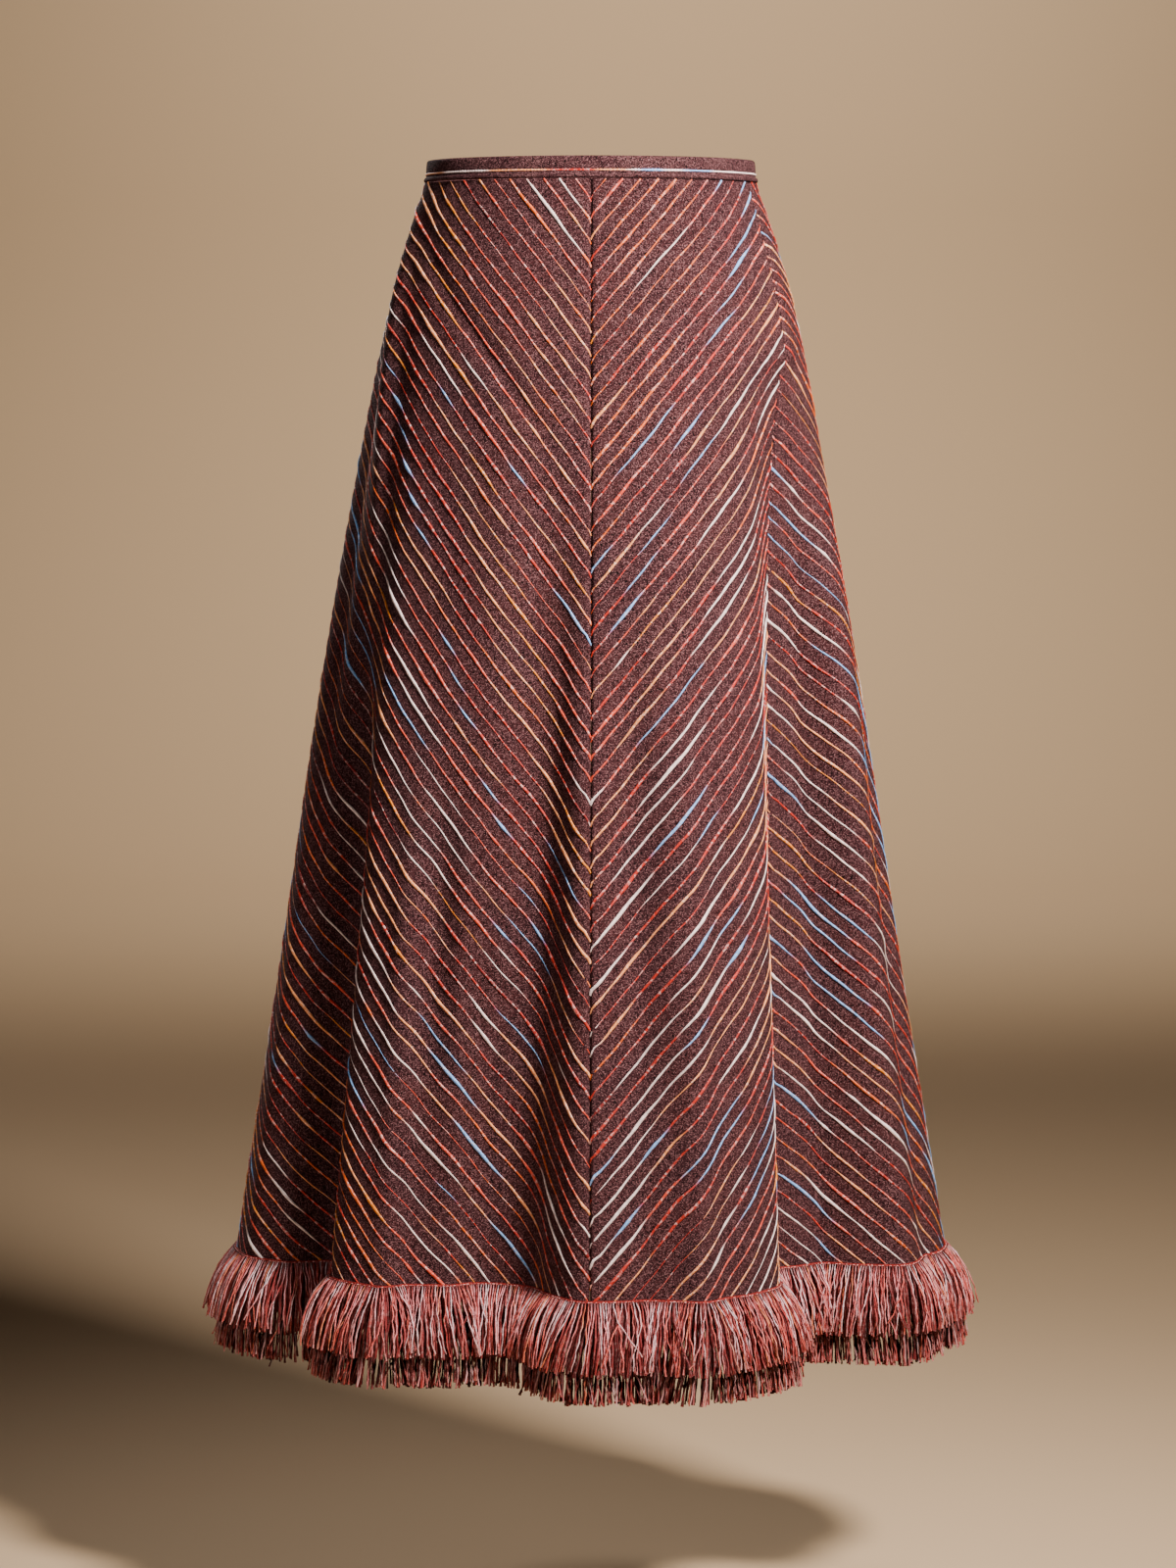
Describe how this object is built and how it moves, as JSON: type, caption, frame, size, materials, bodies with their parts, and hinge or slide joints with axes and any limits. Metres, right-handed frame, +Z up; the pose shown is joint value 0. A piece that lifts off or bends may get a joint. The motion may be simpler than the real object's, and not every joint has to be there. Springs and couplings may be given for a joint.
{
  "type": "fringe skirt",
  "caption": "Hollow A-line gored midi skirt with a narrow waistband, soft flutes at the hem, a two-tier yarn fringe and a zip at the back.",
  "frame": {"origin": "Centre of the waist at half the waistband's height, where the wearer's waist holds the skirt.", "axes": "+Z up, -Y is the front, +X is the right-hand side of someone who looks at the front."},
  "size_m": [0.564, 0.4427, 0.8476],
  "materials": {
    "striped_crepe": "matt heathered brown crepe with inlaid space-dyed bias stripes",
    "band_crepe": "matt heathered brown crepe, one slub yarn near the lower edge",
    "fringe_yarn": "space-dyed two-ply twisted yarn, red to pale pink",
    "fringe_yarn_deep": "the same yarn in deeper reds",
    "zip_tape_cloth": "plain woven tape",
    "zip_metal": "brown enamelled metal"
  },
  "bodies": {
    "skirt": {"waistband": "band_crepe", "front_left": "striped_crepe", "front_right": "striped_crepe", "back_left": "striped_crepe", "back_right": "striped_crepe", "fringe_upper": "fringe_yarn", "fringe_lower": "fringe_yarn_deep", "zip_tape": "zip_tape_cloth", "zip_slider": "zip_metal"},
    "pull_tab": {"zip_pull": "zip_metal"}
  },
  "joints": [
    {"name": "pull_tab_swing", "type": "hinge", "parent": "skirt", "child": "pull_tab", "pos_m": [0, 0.08846, -0.0005], "axis": [1, 0, 0], "range_deg": [0, 150]}
  ]
}
